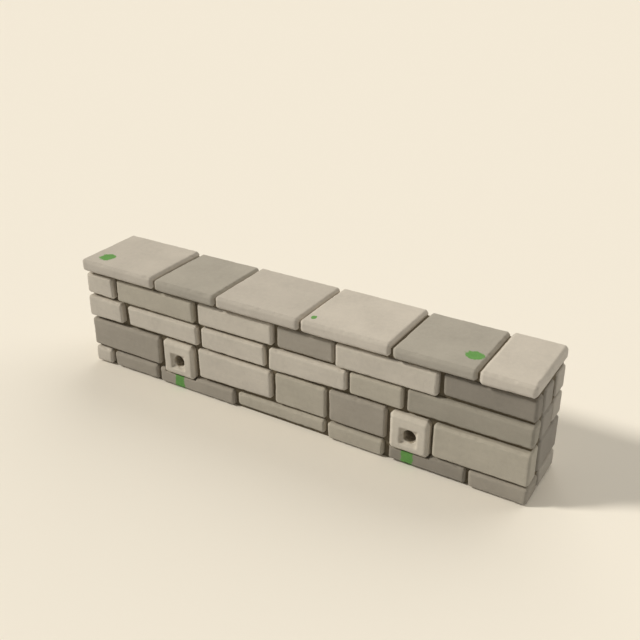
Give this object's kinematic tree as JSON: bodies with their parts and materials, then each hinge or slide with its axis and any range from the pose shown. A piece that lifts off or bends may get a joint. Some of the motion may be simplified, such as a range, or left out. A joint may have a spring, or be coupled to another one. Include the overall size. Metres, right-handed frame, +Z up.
{
  "type": "coursed stone retaining wall",
  "caption": "Low retaining wall of squared stones in courses, with a flat coping and bored weep stones that drain the earth side",
  "frame": {"origin": "on the ground, under the middle of the wall's overall box", "axes": "+X along the wall to the right as its face is seen, -Y out of the face, +Y to the earth side, +Z up"},
  "size_m": [3.01, 0.502, 0.755],
  "materials": {
    "stone_light": "sawn and worn, dull",
    "stone_middle": "sawn and worn, dull",
    "stone_dark": "sawn and worn, dull",
    "weep_stone": "dressed, dull",
    "coping_pale": "dressed and weathered, dull",
    "coping_grey": "dressed and weathered, dull",
    "mortar": "rough, dull"
  },
  "bodies": {
    "root": {"coping_mortar": "mortar", "coping_stone_1": "coping_pale", "coping_stone_2": "coping_grey", "coping_stone_3": "coping_pale", "coping_stone_4": "coping_pale", "coping_stone_5": "coping_grey", "coping_stone_6": "coping_pale", "course_1_backing": "stone_light", "course_1_mortar": "mortar", "course_1_stone_1": "stone_light", "course_1_stone_2": "stone_dark", "course_1_stone_3": "stone_dark", "course_1_stone_4": "stone_middle", "course_1_stone_5": "stone_middle", "course_1_stone_6": "stone_dark", "course_1_stone_7": "stone_dark", "course_2_backing": "stone_light", "course_2_mortar_left": "mortar", "course_2_mortar_middle": "mortar", "course_2_mortar_right": "mortar", "course_2_stone_1": "stone_dark", "course_2_stone_2": "stone_light", "course_2_stone_3": "stone_middle", "course_2_stone_4": "stone_dark", "course_2_stone_5": "stone_middle", "course_3_backing": "stone_light", "course_3_mortar": "mortar", "course_3_stone_1": "stone_light", "course_3_stone_2": "stone_light", "course_3_stone_3": "stone_light", "course_3_stone_4": "stone_light", "course_3_stone_5": "stone_middle", "course_3_stone_6": "stone_middle", "course_4_backing": "stone_light", "course_4_mortar": "mortar", "course_4_stone_1": "stone_light", "course_4_stone_2": "stone_middle", "course_4_stone_3": "stone_light", "course_4_stone_4": "stone_dark", "course_4_stone_5": "stone_light", "course_4_stone_6": "stone_dark", "left_end_stones": "stone_light", "right_end_stones": "stone_light", "weep_stone_left": "weep_stone", "weep_stone_right": "weep_stone"}
  },
  "joints": []
}
